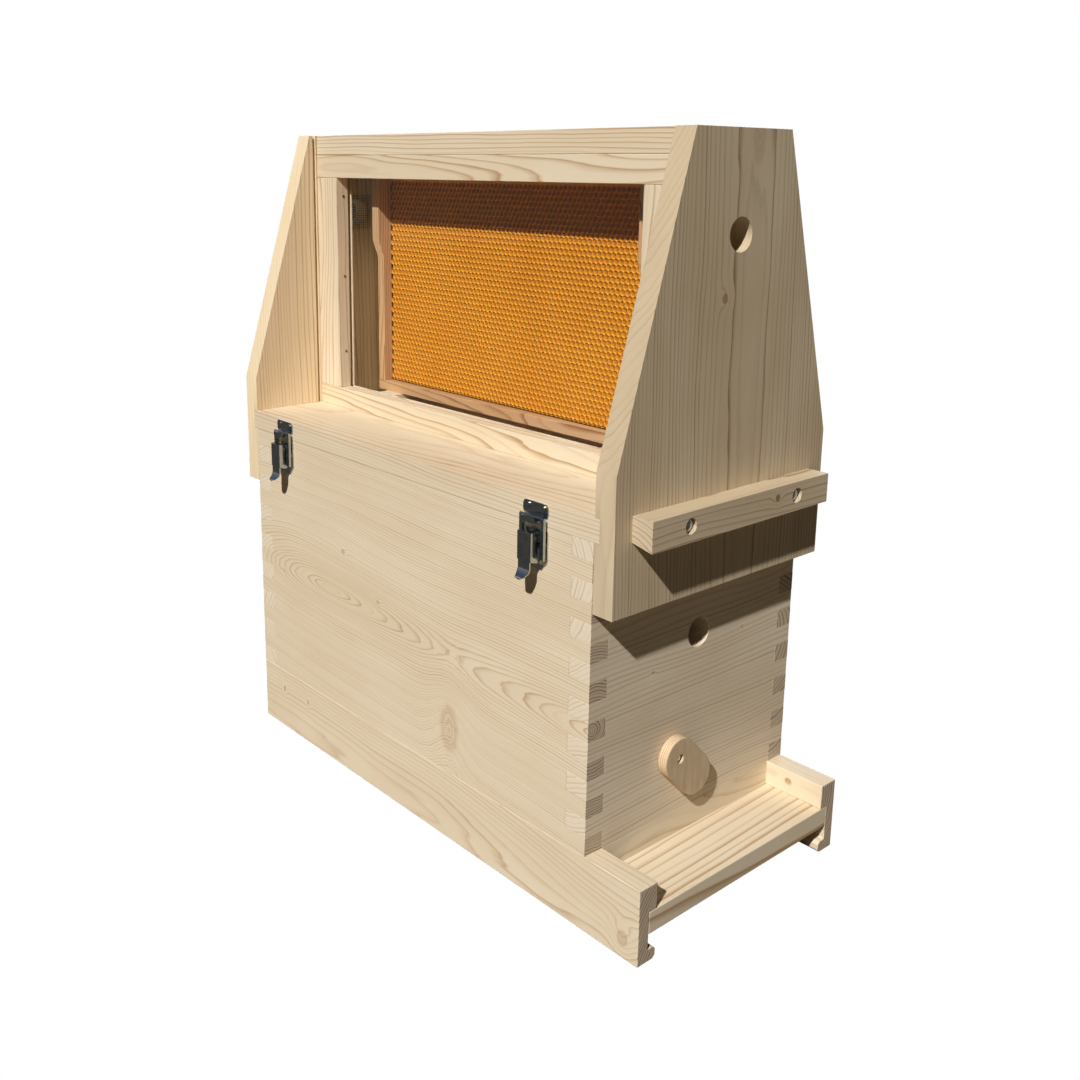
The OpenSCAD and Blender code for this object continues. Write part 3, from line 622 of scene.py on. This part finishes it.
def wire_rows(mesh, start, run, step, count, bulge, radius, waves):
    """Round wires along run, side by side along step, with a given number of half waves of weave."""
    along = run.normalized()
    across = step.normalized()
    rings = max(2, int(waves * RINGS_PER_WAVE))
    turns = [2 * math.pi * s / WIRE_SIDES for s in range(WIRE_SIDES)]
    for row in range(count):
        loops = []
        for k in range(rings + 1):
            t = k / rings
            lift = radius * math.cos(math.pi * (waves * t + row)) if waves else 0.0
            middle = start + step * row + along * (run.length * t) + bulge * lift
            loops.append([mesh.verts.new(middle + (across * math.cos(a) + bulge * math.sin(a)) * radius)
                          for a in turns])
        for first, second in zip(loops, loops[1:]):
            for s in range(WIRE_SIDES):
                m = (s + 1) % WIRE_SIDES
                mesh.faces.new((first[s], first[m], second[m], second[s]))
        mesh.faces.new(list(reversed(loops[0])))
        mesh.faces.new(loops[-1])


def gauze(name, body, node, sheets, pitch, radius, weaves=True):
    """A wire cloth in each of the flat boxes given, as one piece that stands for the CAD node."""
    mesh = bmesh.new()
    for low, high in sheets:
        size = high - low
        thin = min(range(3), key=lambda k: size[k])
        first, second = [k for k in range(3) if k != thin]
        bulge = Vector([float(k == thin) for k in range(3)])
        middle = (low + high) / 2
        for a, b in ((first, second), (second, first)):
            run = Vector([size[a] if k == a else 0.0 for k in range(3)])
            step = Vector([pitch if k == b else 0.0 for k in range(3)])
            count = int(size[b] / pitch)
            layer = 1 if a == first else -1
            start = low.copy()
            start[thin] = middle[thin] + (0 if weaves else radius * layer)
            start[b] = middle[b] - pitch * (count - 1) / 2
            wire_rows(mesh, start, run, step, count, bulge, radius, size[a] / pitch if weaves else 0)
    piece = add_piece(mesh, name, WIRE, body, node)
    for polygon in piece.data.polygons:
        polygon.use_smooth = True


def vent_sheets():
    """The two thin sheets of panel_vent_meshes, one at each end of the node's box."""
    sheet = 0.8 * MM
    low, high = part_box("panel_vent_meshes")
    return [(Vector((high.x - sheet, low.y, low.z)), high), (low, Vector((low.x + sheet, high.y, high.z)))]


gauze("panel_vent_gauze", "observation_section", "panel_vent_meshes", vent_sheets(), 2.4 * MM, 0.22 * MM)
gauze("box_vent_gauze", "nucleus_box", "box_vent_mesh", [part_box("box_vent_mesh")], 2.4 * MM, 0.22 * MM)
gauze("floor_gauze", "nucleus_box", "floor_mesh", [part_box("floor_mesh")], 3.2 * MM, 0.3 * MM, weaves=False)


# ---------------------------------------------------------------- camera and lights
EYE = (0.7528, -0.6751, 0.5550)
HEADING, DOWN, ROLL = 49.23, 12.39, 0.52
FOCAL_LENGTH = 38.63
# name, strength, width in degrees, colour, direction towards the light
SUNS = (("key", 4.05, 1.5, (1.0, 0.988, 0.972), (19.5, -48.7, 48.1)),
        ("back", 0.8, 30.0, (0.94, 0.96, 1.0), (-45.0, 80.0, 22.0)))
SKY_FILL = 0.023
BACKDROP = 1.0
SKY_SHINE = 0.30
WHITE = (1.0, 1.0, 1.0, 1)


def camera():
    """Three-quarter view from the entrance end and the near side, at about the height of the roof."""
    lens = bpy.data.cameras.new("camera")
    lens.sensor_width = 36
    lens.lens = FOCAL_LENGTH
    lens.shift_x = 0.0473
    lens.shift_y = -0.1077
    lens.clip_end = 20
    cam = bpy.data.objects.new("camera", lens)
    bpy.context.scene.collection.objects.link(cam)
    cam.location = EYE
    cam.rotation_euler = (math.radians(90 - DOWN), 0.0, math.radians(HEADING))
    cam.rotation_euler.rotate_axis("Z", math.radians(ROLL))
    bpy.context.scene.camera = cam


def lights():
    """One sun-like key from the near side above, and a weak wide light that opens the far side."""
    for name, strength, width, colour, toward in SUNS:
        light = bpy.data.lights.new(name, "SUN")
        light.energy = strength
        light.angle = math.radians(width)
        light.color = colour
        lamp = bpy.data.objects.new(name, light)
        bpy.context.scene.collection.objects.link(lamp)
        lamp.rotation_euler = Vector(toward).to_track_quat("Z", "Y").to_euler()


def sky():
    """White to the camera and a weak even fill; metal mirrors a pale horizon under a blue sky."""
    world = bpy.data.worlds.new("sky")
    bpy.context.scene.world = world
    world.use_nodes = True
    n = Tree(world.node_tree)
    background = n.tree.nodes["Background"]
    ray = n.add("ShaderNodeLightPath").outputs
    # a view through the glass meets a dim backdrop, as of a garden
    clear = n.math("LESS_THAN", ray["Transparent Depth"], 0.5)
    direct = n.math("MULTIPLY", ray["Is Camera Ray"], clear)
    strength = n.add("ShaderNodeMapRange", None, Value=direct, To_Min=SKY_FILL, To_Max=BACKDROP)
    shine = n.math("MULTIPLY", ray["Is Glossy Ray"], SKY_SHINE)
    n.set(background, "Strength", n.math("ADD", shine, strength.outputs["Result"]))
    height = n.split(n.add("ShaderNodeTexCoord").outputs["Generated"])[2]
    blue = n.ramp(height, [(0.0, (0.90, 0.93, 0.96, 1)), (0.25, (0.60, 0.72, 0.86, 1)),
                           (0.8, (0.14, 0.25, 0.46, 1))])
    warm = n.mix(ray["Is Camera Ray"], (1.0, 0.82, 0.62, 1), WHITE)
    n.set(background, "Color", n.mix(ray["Is Glossy Ray"], warm, blue))


def floor():
    """A wide floor, plain white to the camera, dim to everything that it lights or is mirrored in."""
    mesh = bpy.data.meshes.new("floor")
    half = 6.0
    corners = [(-half, -half, 0), (half, -half, 0), (half, half, 0), (-half, half, 0)]
    mesh.from_pydata(corners, [], [(0, 1, 2, 3)])
    piece = bpy.data.objects.new("floor", mesh)
    bpy.context.scene.collection.objects.link(piece)
    n = Material("pale_floor")
    ray = n.add("ShaderNodeLightPath").outputs
    dim = n.mix(ray["Is Glossy Ray"], (0.15, 0.125, 0.095, 1), (0.085, 0.083, 0.075, 1))
    n.surface(Base_Color=n.mix(ray["Is Camera Ray"], dim, (0.0, 0.0, 0.0, 1)), Roughness=0.9,
              Specular_IOR_Level=0.0, Emission_Color=WHITE, Emission_Strength=ray["Is Camera Ray"])
    mesh.materials.append(n.mat)


camera()
lights()
sky()
floor()
bpy.context.scene.view_settings.view_transform = "Standard"
